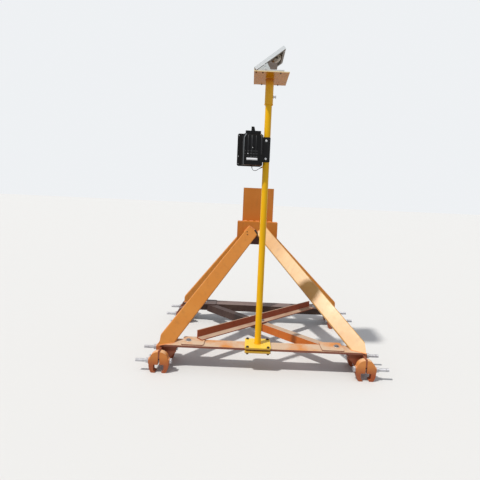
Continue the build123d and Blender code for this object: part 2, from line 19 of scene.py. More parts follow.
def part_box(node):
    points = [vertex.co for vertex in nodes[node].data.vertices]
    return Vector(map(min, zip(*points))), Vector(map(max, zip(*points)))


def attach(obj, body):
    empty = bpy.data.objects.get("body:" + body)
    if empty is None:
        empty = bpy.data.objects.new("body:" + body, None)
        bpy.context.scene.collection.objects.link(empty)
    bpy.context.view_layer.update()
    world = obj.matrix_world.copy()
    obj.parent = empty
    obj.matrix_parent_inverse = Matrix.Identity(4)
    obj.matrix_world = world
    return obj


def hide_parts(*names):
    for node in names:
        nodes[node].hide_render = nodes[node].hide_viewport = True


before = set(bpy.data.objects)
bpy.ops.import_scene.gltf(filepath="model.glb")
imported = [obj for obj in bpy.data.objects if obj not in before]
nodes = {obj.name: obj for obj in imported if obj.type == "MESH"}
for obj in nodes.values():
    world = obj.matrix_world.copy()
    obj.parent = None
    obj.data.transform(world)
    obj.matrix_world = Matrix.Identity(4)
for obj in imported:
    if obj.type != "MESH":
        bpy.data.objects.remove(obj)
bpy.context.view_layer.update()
scene = bpy.context.scene

# %% [markdown]
# ## Sizes
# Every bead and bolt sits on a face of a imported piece. Its place could be typed in as a number,
# but a number goes stale as soon as the model changes. So the boxes of the pieces that carry
# something are read here once, and later cells count from their sides. Only what the model
# doesn't hold by itself, such as the tilt of the panel, is written as a value.

# %% Sizes taken from the model
bar_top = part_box("rear_crossbar")[1].z
plate_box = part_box("pole_foot_plate")
clamp_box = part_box("pole_clamp_plate")
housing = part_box("lamp_housing")
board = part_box("lamp_board")
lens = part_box("lamp_lens")
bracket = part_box("lamp_bracket")
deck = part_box("top_plate")
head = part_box("crosshead")
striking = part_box("striking_plate")
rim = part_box("panel_frame")
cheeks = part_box("panel_bracket")
pole_x = (plate_box[0].x + plate_box[1].x) / 2
pole_y = (plate_box[0].y + plate_box[1].y) / 2
lamp_x = (lens[0].x + lens[1].x) / 2
panel_tilt = radians(38)
rim_depth = 0.025
ends, sides = ("rear", "front"), ("left", "right")
stop, panel_head = "stop", "panel_head"
print("pole at", round(pole_x, 4), round(pole_y, 4), "top of the crossbar", round(bar_top, 4))

# %% [markdown]
# ## Camera
# The photograph was taken from behind the stop, at eye height and with a slight roll. A camera
# can be placed by eye until the outlines meet, or its place and lens can be worked out from
# lengths that are known. This one was worked out, from the known spacing of the clamps. Its turns
# are kept as three angles that can be read by a person. The shifts move the picture on the
# sensor, as in a photograph that was cropped off its middle.

# %% Camera
camera_place = Vector((-0.139, -3.459, 1.361))
camera_yaw = radians(0.28)
camera_pitch = radians(3.59)
camera_roll = radians(2.56)
focal_length, sensor_width = 29.625, 36
shift_across, shift_up = -0.025, -0.0552
camera = bpy.data.objects.new("camera", bpy.data.cameras.new("camera"))
scene.collection.objects.link(camera)
camera.matrix_world = (Matrix.Translation(camera_place)
                       @ Matrix.Rotation(-camera_yaw, 4, "Z")
                       @ Matrix.Rotation(pi / 2 - camera_pitch, 4, "X")
                       @ Matrix.Rotation(camera_roll, 4, "Z"))
camera.data.lens = focal_length
camera.data.sensor_width = sensor_width
camera.data.shift_x = shift_across
camera.data.shift_y = shift_up
scene.camera = camera
print("camera at", [round(part, 3) for part in camera_place], "lens", focal_length)

# %% [markdown]
# ## Cables
# Two thin black cables show. One hangs in a loop from the lamp's case to the pole, and the other
# runs in an arc under the panel. A cable could be a mesh tube swept point by point, but a curve
# with a round bevel stays smooth at any distance, and its route can still be changed afterwards.
# A NURBS spline of a low order keeps close to its points without kinks. Both routes are those
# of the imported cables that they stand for.

# %% Cable routes
cord_diameter = 0.004
lamp_route = [(-0.14115, -0.521, 1.527), (-0.14115, -0.521, 1.510), (-0.13022, -0.521, 1.49698),
              (-0.11339, -0.521, 1.49461), (-0.09838, -0.521, 1.50259), (-0.08498, -0.521, 1.51306),
              (-0.0697, -0.521, 1.52051)]
panel_route = [(0.00457, -0.569, 2.30316), (0.00457, -0.591, 2.30316), (-0.00343, -0.611, 2.29416),
               (-0.01943, -0.627, 2.27716), (-0.03743, -0.639, 2.25616), (-0.05243, -0.655, 2.23916),
               (-0.05243, -0.675, 2.23916)]
print("route points", len(lamp_route), len(panel_route))

# %% Lamp cable and panel cable
point_radius = 0.01
route_steps, round_steps = 16, 4


def make_cord(name, route, body, node):
    """A round cable on a smooth spline, which stands for its node.

    A bevel is multiplied by the radius of each point. A small radius under a larger bevel gives
    the same cable, and keeps the curve's own box close round it."""
    line = bpy.data.curves.new(name, "CURVE")
    line.dimensions = "3D"
    line.resolution_u = route_steps
    line.bevel_depth = cord_diameter / 2 / point_radius
    line.bevel_resolution = round_steps
    spline = line.splines.new("NURBS")
    spline.points.add(len(route) - 1)
    for point, place in zip(spline.points, route):
        point.co = (*place, 1)
        point.radius = point_radius
    spline.order_u = 3
    spline.use_endpoint_u = True
    piece = bpy.data.objects.new(name, line)
    scene.collection.objects.link(piece)
    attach(piece, body)
    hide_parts(node)
    print(name, len(route), "points")
    return piece


cords = [make_cord("lamp_lead", lamp_route, stop, "lamp_cable"),
         make_cord("panel_lead", panel_route, panel_head, "panel_cable")]

# %% [markdown]
# ## Light
# The stop stands in hazy sunshine that comes from behind the camera, on its left. Lamps could be
# set up round it as in a studio, but a sun and an even sky give the same one-sided light with
# soft shadows, and they light every view alike. The backdrop is a second shader in the world,
# shown only to the rays that see it, so it can be pale without lighting the object.

# %% Sun
sun_strength, sun_spread = 2.9, radians(2.5)
sun_colour = (1.0, 0.97, 0.92)
sun_from = Vector((-0.47, -0.36, 1.0))
sun = bpy.data.objects.new("sun", bpy.data.lights.new("sun", "SUN"))
sun.data.energy = sun_strength
sun.data.angle = sun_spread
sun.data.color = sun_colour
sun.rotation_euler = sun_from.to_track_quat("Z", "Y").to_euler()
scene.collection.objects.link(sun)
print("sun from", [round(part, 2) for part in sun_from], "strength", sun_strength)

# %% Rays that see the backdrop


def pale_for_rays(tree):
    """A value that is 1 for the rays by which the backdrop is seen, and 0 for bounced light."""
    path = tree.nodes.new("ShaderNodeLightPath")
    first = tree.nodes.new("ShaderNodeMath")
    first.operation = "MAXIMUM"
    second = tree.nodes.new("ShaderNodeMath")
    second.operation = "MAXIMUM"
    tree.links.new(path.outputs["Is Camera Ray"], first.inputs[0])
    tree.links.new(path.outputs["Is Glossy Ray"], first.inputs[1])
    tree.links.new(first.outputs[0], second.inputs[0])
    tree.links.new(path.outputs["Is Transmission Ray"], second.inputs[1])
    return second.outputs[0]


print("the backdrop shows to camera, glossy and transmission rays")

# %% Sky and backdrop
sky_colour = (0.90, 0.93, 1.0, 1)
sky_strength = 0.50
backdrop_colour = (0.86, 0.88, 0.90, 1)
world = bpy.data.worlds.new("sky")
scene.world = world
world.use_nodes = True
scene.view_settings.view_transform = "Standard"


def light_world():
    """Soft sky light on the object, and a pale backdrop for the camera."""
    tree = world.node_tree
    tree.nodes.clear()
    out = tree.nodes.new("ShaderNodeOutputWorld")
    mix = tree.nodes.new("ShaderNodeMixShader")
    sky = tree.nodes.new("ShaderNodeBackground")
    backdrop = tree.nodes.new("ShaderNodeBackground")
    sky.inputs["Color"].default_value = sky_colour
    sky.inputs["Strength"].default_value = sky_strength
    backdrop.inputs["Color"].default_value = backdrop_colour
    backdrop.inputs["Strength"].default_value = 1.0
    tree.links.new(pale_for_rays(tree), mix.inputs[0])
    tree.links.new(sky.outputs[0], mix.inputs[1])
    tree.links.new(backdrop.outputs[0], mix.inputs[2])
    tree.links.new(mix.outputs[0], out.inputs["Surface"])


light_world()
print("sky strength", sky_strength)

# %% [markdown]
# ## Floor
# A large flat sheet under the stop catches its shadows. It is no piece of the object. Its paint
# is pale for the camera and darker for the light that bounces off it, because a floor as bright as
# it looks would throw a glow under the steel that the photograph doesn't have.

# %% Floor
floor_reach = 30
floor_dark = (0.34, 0.33, 0.31, 1)
floor_pale = (0.70, 0.70, 0.69, 1)


def make_floor():
    """A plain pale floor under the claw tips."""
    mesh = bpy.data.meshes.new("floor")
    corners = [(x * floor_reach, y * floor_reach, 0) for x, y in ((-1, -1), (1, -1), (1, 1), (-1, 1))]
    mesh.from_pydata(corners, [], [(0, 1, 2, 3)])
    floor = bpy.data.objects.new("floor", mesh)
    scene.collection.objects.link(floor)
    material = bpy.data.materials.new("floor_paint")
    material.use_nodes = True
    tree = material.node_tree
    shader = tree.nodes["Principled BSDF"]
    shader.inputs["Roughness"].default_value = 0.9
    tone = tree.nodes.new("ShaderNodeMix")
    tone.data_type = "RGBA"
    tone.inputs[6].default_value = floor_dark
    tone.inputs[7].default_value = floor_pale
    tree.links.new(pale_for_rays(tree), tone.inputs["Factor"])
    tree.links.new(tone.outputs[2], shader.inputs["Base Color"])
    mesh.materials.append(material)


make_floor()
print("floor reaches", floor_reach, "m to each side")

# %% [markdown]
# ## How the materials are made
# A material could be painted on an image and wrapped round the piece. Here it is worked out from
# noise at each point instead, so it needs no image and has no seams. The noise reads object
# coordinates. Every piece sits at the origin, so a pattern runs on from one piece to the next
# and stays where it is in any view. Building nodes by hand takes many lines, so this small class
# gives each common node a short call, and the builders below read like recipes.

# %% Node helpers


class Graph:
    """A material's node tree with short calls for the nodes that the builders share."""

    def __init__(self, name):
        self.material = bpy.data.materials.new(name)
        self.material.use_nodes = True
        self.tree = self.material.node_tree
        self.shader = self.tree.nodes["Principled BSDF"]
        coordinates = self.tree.nodes.new("ShaderNodeTexCoord")
        self.place = coordinates.outputs["Object"]
        self.facing = coordinates.outputs["Normal"]

    def node(self, kind, **settings):
        made = self.tree.nodes.new(kind)
        for key, value in settings.items():
            setattr(made, key, value)
        return made

    def link(self, source, target):
        self.tree.links.new(source, target)

    def scaled(self, stretch):
        """Object coordinates stretched by three factors."""
        mapping = self.node("ShaderNodeMapping")
        mapping.inputs["Scale"].default_value = stretch
        self.link(self.place, mapping.inputs["Vector"])
        return mapping.outputs[0]

    def noise(self, scale, detail=4.0, stretch=(1, 1, 1), roughness=0.55):
        made = self.node("ShaderNodeTexNoise")
        made.inputs["Scale"].default_value = scale
        made.inputs["Detail"].default_value = detail
        made.inputs["Roughness"].default_value = roughness
        self.link(self.scaled(stretch), made.inputs["Vector"])
        return made.outputs["Fac"]

    def steps(self, value, low, high):
        """A value mapped from low..high to 0..1."""
        made = self.node("ShaderNodeMapRange")
        made.inputs["From Min"].default_value = low
        made.inputs["From Max"].default_value = high
        self.link(value, made.inputs["Value"])
        return made.outputs[0]

    def along(self, vector, axis):
        """One of the three parts of a vector."""
        split = self.node("ShaderNodeSeparateXYZ")
        self.link(vector, split.inputs[0])
        return split.outputs[axis]

    def times(self, a, b):
        made = self.node("ShaderNodeMath", operation="MULTIPLY")
        for source, socket in ((a, made.inputs[0]), (b, made.inputs[1])):
            if isinstance(source, (int, float)):
                socket.default_value = source
            else:
                self.link(source, socket)
        return made.outputs[0]

    def mix(self, amount, a, b):
        """A colour between two colours or colour outputs."""
        made = self.node("ShaderNodeMix", data_type="RGBA")
        self.link(amount, made.inputs["Factor"])
        for source, socket in ((a, made.inputs[6]), (b, made.inputs[7])):
            if isinstance(source, tuple):
                socket.default_value = (*source, 1)
            else:
                self.link(source, socket)
        return made.outputs[2]

    def bump(self, height, strength, distance, below=None):
        made = self.node("ShaderNodeBump")
        made.inputs["Strength"].default_value = strength
        made.inputs["Distance"].default_value = distance
        self.link(height, made.inputs["Height"])
        if below:
            self.link(below, made.inputs["Normal"])
        return made.outputs[0]

    def waves(self, pitch, vector, **settings):
        """Waves or rings with a crest at every pitch."""
        made = self.node("ShaderNodeTexWave", **settings)
        made.inputs["Scale"].default_value = 2 * pi / (20 * pitch)
        self.link(vector, made.inputs["Vector"])
        return made.outputs["Fac"]

    def finish(self, base, gloss, spread, scale, detail):
        """The colour, and a roughness that goes in patches from gloss up by the spread."""
        self.link(base, self.shader.inputs["Base Color"])
        rough = self.node("ShaderNodeMapRange")
        rough.inputs["To Min"].default_value = gloss
        rough.inputs["To Max"].default_value = gloss + spread
        self.link(self.noise(scale, detail), rough.inputs["Value"])
        self.link(rough.outputs[0], self.shader.inputs["Roughness"])


def to_linear(colour):
    """A display colour of 0 to 255 as scene values."""
    made = []
    for part in colour:
        part = part / 255
        made.append(part / 12.92 if part <= 0.04045 else ((part + 0.055) / 1.055) ** 2.4)
    return tuple(made)


print("node helpers ready")

# %% [markdown]
# ## Painted steel
# The frame, the head, the pole and the deck have a brushed coat of thick paint that has stood in
# sun and dust. One flat colour would look new and made of plastic. So the coat is built in layers:
# two tones, runs, bleached tops, chips down to primer and rust, and dust low down, as weather lays
# them, and painted light as well: a painted highlight on faces that look to the rear, and painted
# shade at the head's end and in a darker stretch. Each layer is mixed over the one before by a
# value between 0 and 1, and a paint leaves out the layers that its piece doesn't have.

# %% Tones, runs and bleached tops
patch_scale, top_scale = 3.2, 5.5
streak_scale, streak_stretch, streak_strength, streak_shade = 26, (1, 1, 0.16), 0.35, 0.82
far_start, far_full = 0.05, 0.30


def on_top(g):
    """A value that is 1 on the faces that look up."""
    return g.steps(g.along(g.facing, "Z"), 0.6, 0.9)


def brushed(g, colour, faded, fade, back, top, far):
    """Two tones, a painted highlight on faces that look to the rear, runs, bleached tops, and darker tones
    at the head's end as painted shade.
    """
    patches = g.steps(g.noise(patch_scale, 5), 0.62 - 0.25 * fade, 0.72)
    base = g.mix(patches, to_linear(colour), to_linear(faded))
    if back:
        base = g.mix(g.steps(g.along(g.facing, "Y"), -0.8, -0.95), base, to_linear(back))
    streaks = g.times(g.steps(g.noise(streak_scale, 3, streak_stretch), 0.52, 0.72), streak_strength)
    base = g.mix(streaks, base, to_linear(tuple(part * streak_shade for part in colour)))
    if top:
        bleached = g.steps(g.noise(top_scale, 6), 0.35, 0.53)
        above = g.mix(bleached, to_linear(top[0]), to_linear(top[1]))
        base = g.mix(on_top(g), base, above)
    if far:
        dark = g.mix(on_top(g), to_linear(far[0]), to_linear(far[1]))
        base = g.mix(g.steps(g.along(g.place, "Y"), far_start, far_full), base, dark)
    return base


print("the head's end turns from Y", far_start, "to", far_full)

# %% A stretch of painted shade
shade_edge = 0.01


def shaded(g, base, middle, half, height, soft, dark):
    """A darker stretch painted into the colour, mostly as shade, within half of an X place, below a
    height, or above it if soft is negative.

    A stretch that is narrower than the stop stays off the faces that look to the front."""
    offset = g.node("ShaderNodeMath", operation="SUBTRACT")
    offset.inputs[1].default_value = middle
    g.link(g.along(g.place, "X"), offset.inputs[0])
    across = g.node("ShaderNodeMath", operation="ABSOLUTE")
    g.link(offset.outputs[0], across.inputs[0])
    inside = g.times(g.steps(across.outputs[0], half + shade_edge, half - shade_edge),
                     g.steps(g.along(g.place, "Z"), height + soft, height - soft))
    if half < 1:
        inside = g.times(inside, g.steps(g.along(g.facing, "Y"), 0.95, 0.85))
    return g.mix(inside, base, to_linear(dark))


print("a shade fades within", shade_edge, "m")

# %% Chips and dust
flake_scale, flake_edge, zone_scale = 34, 0.025, 4.5
grime_scale, dust_colour = 14, (150, 128, 104)
dust_top, dust_full = 0.34, 0.02


def chip_marks(g, chips):
    """A value that is 1 in the chips, which come in some zones only."""
    edge = 0.74 - 0.12 * chips
    flakes = g.steps(g.noise(flake_scale, 8, roughness=0.7), edge, edge + flake_edge)
    return g.times(flakes, g.steps(g.noise(zone_scale, 2), 0.46, 0.58))


def dusted(g, base, dust):
    """Dust in patches on the lowest part."""
    low = g.times(g.steps(g.along(g.place, "Z"), dust_top, dust_full), dust)
    grime = g.times(low, g.steps(g.noise(grime_scale, 6), 0.35, 0.65))
    return g.mix(grime, base, to_linear(dust_colour))


print("dust up to", dust_top, "m")

# %% A coat of paint
rust_colour, rust_scale = (84, 50, 34), 160
sheen_scale, sheen_spread = 18, 0.16
brush_scale, brush_stretch = 70, (1, 1, 0.3)


def painted(name, colour, faded, primer, chips=0.5, fade=0.6, gloss=0.38, dust=0.0, level=0.5,
            top=None, far=None, back=None, shade=None):
    """A brushed coat that has weathered, with chips that lie a little deeper than the paint.

    colour and faded are the two tones, and chips, fade and dust say how much there is of each.
    gloss is the lowest roughness, and level the strength of the reflections. top and far are the
    pairs of tones of the tops and of the head's end, where far is painted shade, and back is a
    painted highlight on the faces that look to the rear. shade is the middle, half width, height,
    softness and tone of a darker stretch, mostly painted shade."""
    g = Graph(name)
    base = brushed(g, colour, faded, fade, back, top, far)
    if shade:
        base = shaded(g, base, *shade)
    worn = chip_marks(g, chips)
    rust = g.mix(g.noise(rust_scale, 4), to_linear(primer), to_linear(rust_colour))
    base = dusted(g, g.mix(worn, base, rust), dust)
    g.finish(base, gloss, sheen_spread, sheen_scale, 4)
    g.shader.inputs["Specular IOR Level"].default_value = level
    brush = g.bump(g.noise(brush_scale, 3, brush_stretch), 0.12, 0.001)
    g.link(g.bump(worn, 0.5, 0.0012, brush), g.shader.inputs["Normal"])
    return g.material


print("paint builder ready")

# %% [markdown]
# ## The paints
# The legs and clamps are orange and the crossbars a red oxide that dust has paled on top, while
# the pole, its foot and the deck are yellow. One orange for all would be simpler, but the pieces
# differ, and some paints hold painted light: the right rear leg's paint is nearly cream, a painted
# glint of the sun on its face, and the front crossbar's is nearly black, painted shade. So each kind
# of piece has a paint of its own, as a short recipe.

# %% Paints of the legs and the head
leg_paint = painted("leg_paint", (206, 130, 46), (214, 142, 60), (150, 82, 48),
                    chips=0.15, fade=0.5, gloss=0.30, dust=0.15)
# The right rear leg's paint is nearly cream: a painted glint of the sun on its face.
glint_leg_paint = painted("glint_leg_paint", (198, 144, 72), (216, 180, 118), (170, 104, 60),
                         chips=0.1, fade=0.9, gloss=0.26, dust=0.1)
# The head's rear face is darker low down between the legs: painted shade where the legs block the sun.
head_paint = painted("head_paint", (192, 112, 24), (200, 122, 40), (120, 60, 36),
                     chips=0.3, fade=0.5, gloss=0.5,
                     shade=(-0.078, 0.07, 0.905, 0.004, (70, 26, 14)))
print(leg_paint.name, glint_leg_paint.name, head_paint.name)

# %% Paints of the braces and crossbars
brace_tops = ((172, 138, 114), (190, 164, 140))
# The upper brace's paint is a darker copy of the lower brace's orange, painted shade for its web that looks
# away from the sun.
upper_paint = painted("upper_paint", (146, 60, 22), (156, 74, 36), (84, 40, 30),
                      chips=0.5, fade=0.4, gloss=0.5, dust=0.2, top=brace_tops)
# The lower brace's left half is darker: a painted shadow.
lower_paint = painted("lower_paint", (206, 104, 26), (212, 118, 44), (110, 50, 30),
                      chips=0.4, fade=0.4, gloss=0.5, dust=0.1, top=brace_tops,
                      shade=(-0.32, 0.30, 2.0, 0.01, (56, 34, 30)))
# The front crossbar's paint is nearly black: painted shade.
front_paint = painted("front_paint", (56, 32, 28), (70, 44, 38), (44, 30, 26),
                      chips=0.6, fade=0.4, gloss=0.6, dust=0.2, top=((100, 80, 76), (118, 100, 96)))
# The bar's far tones darken the brace plates at the head's end: painted shade.
bar_paint = painted("bar_paint", (126, 72, 56), (146, 90, 70), (100, 52, 34),
                    chips=0.6, fade=0.8, gloss=0.55, dust=0.1,
                    top=((208, 136, 70), (206, 178, 150)), far=((62, 38, 34), (92, 78, 76)))
print(upper_paint.name, lower_paint.name, front_paint.name, bar_paint.name)

# %% Paints of the clamps and feet
# The clamps and feet take darker far tones at the head's end, painted shade, and the jaws are darker
# towards the bottom.
clamp_paint = painted("clamp_paint", (216, 130, 52), (228, 150, 82), (130, 74, 44),
                      chips=0.9, fade=0.7, gloss=0.45, dust=0.2,
                      top=((222, 156, 100), (230, 182, 136)), far=((112, 64, 44), (120, 84, 72)),
                      shade=(0, 2, 0.085, 0.035, (168, 78, 30)))
foot_paint = painted("foot_paint", (138, 62, 34), (158, 80, 48), (88, 44, 32),
                     chips=0.9, fade=0.4, gloss=0.5, dust=0.35, far=((88, 52, 42), (100, 76, 70)))
print(clamp_paint.name, foot_paint.name)

# %% Yellow paints of the pole and the deck
pole_paint = painted("pole_paint", (246, 186, 2), (250, 194, 16), (170, 110, 30),
                     chips=0.1, fade=0.4, gloss=0.3, dust=0.1, level=0.25)
plate_yellow = painted("plate_yellow", (206, 158, 48), (196, 160, 84), (140, 100, 40),
                       chips=0.4, fade=0.6, gloss=0.36, dust=0.2, top=((240, 192, 34), (242, 202, 60)))
# The sleeve is darker at its top: a painted shadow of the deck.
sleeve_paint = painted("sleeve_paint", (248, 184, 30), (250, 194, 60), (150, 96, 30),
                       chips=0.25, fade=0.4, gloss=0.36, level=0.3,
                       shade=(-0.038, 0.1, 2.140, -0.03, (186, 92, 16)))
# The deck's faces that look to the rear are cream: a painted highlight of the sun on its near edge.
deck_paint = painted("deck_paint", (208, 134, 8), (214, 144, 30), (140, 92, 50),
                     chips=0.3, fade=0.5, gloss=0.16, level=0.08, back=(250, 228, 178))
print(pole_paint.name, plate_yellow.name, sleeve_paint.name, deck_paint.name)

# %% Paints over the weld beads
weld_paint = painted("weld_paint", (232, 150, 88), (236, 164, 110), (150, 80, 44),
                     chips=0.4, fade=0.4, gloss=0.4)
weld_dark = painted("weld_dark", (150, 76, 40), (170, 96, 60), (90, 46, 30),
                    chips=0.8, fade=0.4, gloss=0.5)
weld_yellow = painted("weld_yellow", (226, 156, 16), (234, 170, 40), (160, 100, 30),
                      chips=0.3, fade=0.4, gloss=0.34)
print(weld_paint.name, weld_dark.name, weld_yellow.name)

# %% [markdown]
# ## Bare metal
# The clamp rods and small bolts are zinc plated, and the panel's frame is aluminium. Metal shows
# mostly what it reflects, so its colour matters less than how rough it is. A fine grain breaks up
# the shine, and dark stains take some of it away. The threads of the rods could be cut into the
# mesh, but at this distance a wave in the bump gives the same look for no faces at all.

# %% A bare metal
thread_pitch, thread_depth = 0.003, 0.0012
stain_scale, stain_shade = 40, 0.55
grain_scale, grain_depth = 400, 0.0004


def metal(name, colour, rough, thread_axis=None, stain=0.3, bare=0.9, under=None):
    """Zinc, steel or aluminium with a fine grain and stains, and a thread where an axis is given.

    bare says how metallic it is. under is a darker tone on the faces that look neither up nor
    along Y, painted shade."""
    g = Graph(name)
    stains = g.times(g.steps(g.noise(stain_scale, 6), 0.5, 0.7), stain)
    base = g.mix(stains, to_linear(colour), to_linear(tuple(part * stain_shade for part in colour)))
    if under:
        aside = g.node("ShaderNodeMath", operation="ABSOLUTE")
        g.link(g.along(g.facing, "Y"), aside.inputs[0])
        lit = g.node("ShaderNodeMath", operation="MAXIMUM")
        g.link(g.steps(aside.outputs[0], 0.3, 0.7), lit.inputs[0])
        g.link(g.steps(g.along(g.facing, "Z"), 0.2, 0.5), lit.inputs[1])
        base = g.mix(lit.outputs[0], to_linear(under), base)
    g.finish(base, rough, 0.2, 90, 3)
    g.shader.inputs["Metallic"].default_value = bare
    grain = g.bump(g.noise(grain_scale, 2), 0.12, grain_depth)
    if thread_axis:
        thread = g.waves(thread_pitch, g.place, bands_direction=thread_axis)
        grain = g.bump(thread, 0.8, thread_depth, grain)
    g.link(grain, g.shader.inputs["Normal"])
    return g.material


print("thread pitch", thread_pitch)

# %% Zinc, steel and aluminium
zinc = metal("zinc", (200, 202, 204), 0.32)
rod_steel = metal("rod_steel", (206, 206, 210), 0.34, thread_axis="X", stain=0.4)
dark_steel = metal("dark_steel", (74, 62, 46), 0.5, stain=0.4, bare=0.5)
head_steel = metal("head_steel", (138, 142, 150), 0.45, stain=0.5, bare=0.6)
grey_steel = metal("grey_steel", (114, 102, 94), 0.5, stain=0.2, bare=0.2)
# The frame and the ear are darker where they face neither up nor along Y: painted shade.
aluminium = metal("aluminium", (226, 230, 232), 0.40, stain=0.08, bare=0.4, under=(116, 102, 86))
ear_metal = metal("ear_metal", (202, 208, 208), 0.42, stain=0.1, bare=0.4, under=(120, 112, 104))
print(zinc.name, rod_steel.name, aluminium.name)

# %% [markdown]
# ## Plastic and rubber
# The lamp is a black moulding on a black board, and its cables have rubber collars. In the
# sun black plastic shows only its reflections, so a low strength of reflection keeps it black.
# A mould leaves a fine even grain, which a weak bump gives, and a thin film of dust in patches
# stops the grey and white parts from looking new.

# %% A moulded plastic
film_colour, film_scale = (120, 112, 100), 9
mould_depth = 0.0005


def plastic(name, colour, rough, grain=260, strength=0.2, dust=0.15, level=0.5):
    """Moulded plastic with a fine grain and a film of dust in patches."""
    g = Graph(name)
    film = g.times(g.steps(g.noise(film_scale, 6), 0.45, 0.75), dust)
    g.finish(g.mix(film, to_linear(colour), to_linear(film_colour)), rough, 0.15, 30, 3)
    g.shader.inputs["Specular IOR Level"].default_value = level
    g.link(g.bump(g.noise(grain, 2), strength, mould_depth), g.shader.inputs["Normal"])
    return g.material


print("plastic builder ready")

# %% Plastics of the lamp and the panel
black_plastic = plastic("black_plastic", (9, 9, 11), 0.34, dust=0.0, level=0.18)
# The ribs' black is a little paler than the case's: a painted sheen for the sun that they catch.
rib_black = plastic("rib_black", (24, 24, 27), 0.3, dust=0.0, level=0.35)
board_black = plastic("board_black", (14, 11, 11), 0.5, dust=0.01, level=0.2)
bracket_black = plastic("bracket_black", (14, 15, 17), 0.3, grain=120, strength=0.15, dust=0.02,
                        level=0.22)
rubber = plastic("rubber", (8, 8, 9), 0.6, grain=500, strength=0.1, dust=0.0, level=0.15)
grey_plastic = plastic("grey_plastic", (122, 126, 130), 0.34, dust=0.05)
# The shoulder's grey is a painted highlight of the case's sunlit edge.
shoulder_glint = plastic("shoulder_glint", (168, 158, 130), 0.34, dust=0.05)
box_grey = plastic("box_grey", (206, 198, 184), 0.45, dust=0.1)
label_white = plastic("label_white", (238, 240, 244), 0.4, grain=600, strength=0.05, dust=0.03)
hole_dark = plastic("hole_dark", (40, 20, 14), 0.8, dust=0.1)
print(black_plastic.name, rubber.name, label_white.name)

# %% [markdown]
# ## The lens
# On its front the lamp has a red lens, a clear moulding with rings cut in it to gather the light.
# The rings could be modelled as ridges, which would take thousands of faces. As waves round the
# lens's middle they take none and keep their fine pitch. Part of the light passes through the
# lens, and the rest is thrown back by a nearly smooth surface.

# %% Red lens
ring_pitch = 0.006


def red_lens():
    """A clear red moulding with rings cut in it."""
    g = Graph("red_lens")
    shift = g.node("ShaderNodeMapping")
    shift.inputs["Location"].default_value = (-lamp_x, 0, -(lens[0].z + lens[1].z) / 2)
    shift.inputs["Scale"].default_value = (1, 0, 1)
    g.link(g.place, shift.inputs["Vector"])
    rings = g.waves(ring_pitch, shift.outputs[0], wave_type="RINGS", rings_direction="SPHERICAL")
    g.link(g.mix(rings, to_linear((150, 14, 12)), to_linear((196, 30, 22))),
           g.shader.inputs["Base Color"])
    g.shader.inputs["Roughness"].default_value = 0.12
    g.shader.inputs["Transmission Weight"].default_value = 0.35
    g.link(g.bump(rings, 0.6, 0.0015), g.shader.inputs["Normal"])
    return g.material


lens_red = red_lens()
print(lens_red.name)

# %% [markdown]
# ## The solar panel's two sides
# The panel is one laminate with dark glass above and a pale sheet below, and the photograph shows
# the pale side. Two slots of material would need its faces picked out. One material that asks
# which way a face looks does both. The cells under the glass are blue silicon with fine silver
# fingers, drawn as waves, and a clear coat stands for the glass over them.

# %% Glass and back sheet
waviness_scale, waviness = 6, 0.002


def glassy(g, base, rough):
    """A smooth and very slightly wavy surface over a colour."""
    g.link(base, g.shader.inputs["Base Color"])
    g.shader.inputs["Roughness"].default_value = rough
    g.link(g.bump(g.noise(waviness_scale, 2), 0.05, waviness), g.shader.inputs["Normal"])
    return g.material


def laminate_glass():
    """A dark glass front over a pale back sheet."""
    g = Graph("laminate_glass")
    front = g.mix(g.noise(22, 5), to_linear((16, 20, 34)), to_linear((24, 30, 50)))
    back = g.mix(g.noise(30, 4), to_linear((214, 206, 190)), to_linear((226, 220, 208)))
    return glassy(g, g.mix(g.steps(g.along(g.facing, "Z"), -0.1, 0.1), back, front), 0.16)


backsheet = laminate_glass()
print(backsheet.name)

# %% Silicon cells
finger_pitch = 0.0035


def cell_silicon():
    """Blue silicon with fine silver fingers under a clear coat."""
    g = Graph("cell_silicon")
    base = g.mix(g.noise(22, 5), to_linear((14, 26, 66)), to_linear((24, 40, 96)))
    fingers = g.waves(finger_pitch, g.place, bands_direction="Y")
    base = g.mix(g.steps(fingers, 0.93, 1.0), base, to_linear((130, 140, 156)))
    g.shader.inputs["Coat Weight"].default_value = 0.6
    return glassy(g, base, 0.2)


cell_blue = cell_silicon()
print(cell_blue.name)

# %% [markdown]
# ## Dressing the imported pieces
# A imported piece keeps its mesh and gets only a material. A long list that names all of them would
# be easy to get wrong, so pieces that differ have a line each, and the rest, such as legs, jaws
# and rods, are told by their names.

# %% Materials on the imported pieces
finish_of = {
    "rear_crossbar": bar_paint, "front_crossbar": front_paint, "brace_plates": bar_paint,
    "brace_lower": lower_paint, "brace_upper": upper_paint, "brace_bolts": head_steel,
    "rear_leg_right": glint_leg_paint, "crosshead": head_paint, "striking_plate": head_paint,
    "pole": pole_paint, "pole_foot_plate": plate_yellow, "pole_clamp_plate": plate_yellow,
    "sleeve": sleeve_paint, "sleeve_screw": zinc, "top_plate": deck_paint,
    "lamp_bracket": bracket_black, "lamp_housing": black_plastic, "lamp_board": board_black,
    "lamp_lens": lens_red, "lamp_cable": rubber, "panel_cable": rubber, "junction_box": box_grey,
    "panel_bracket": ear_metal, "panel_tilt_plates": grey_steel, "panel_frame": aluminium,
    "panel_laminate": backsheet,
}


def finish_for(name):
    """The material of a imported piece, by its name or its kind."""
    if name in finish_of:
        return finish_of[name]
    if "leg_" in name:
        return leg_paint
    if name.endswith("_jaws"):
        return clamp_paint
    if name.endswith("_rods"):
        return rod_steel
    return foot_paint


for name, piece in nodes.items():
    piece.data.materials.clear()
    piece.data.materials.append(finish_for(name))
for cord in cords:
    cord.data.materials.append(rubber)
print("finished", len(nodes), "packed pieces")

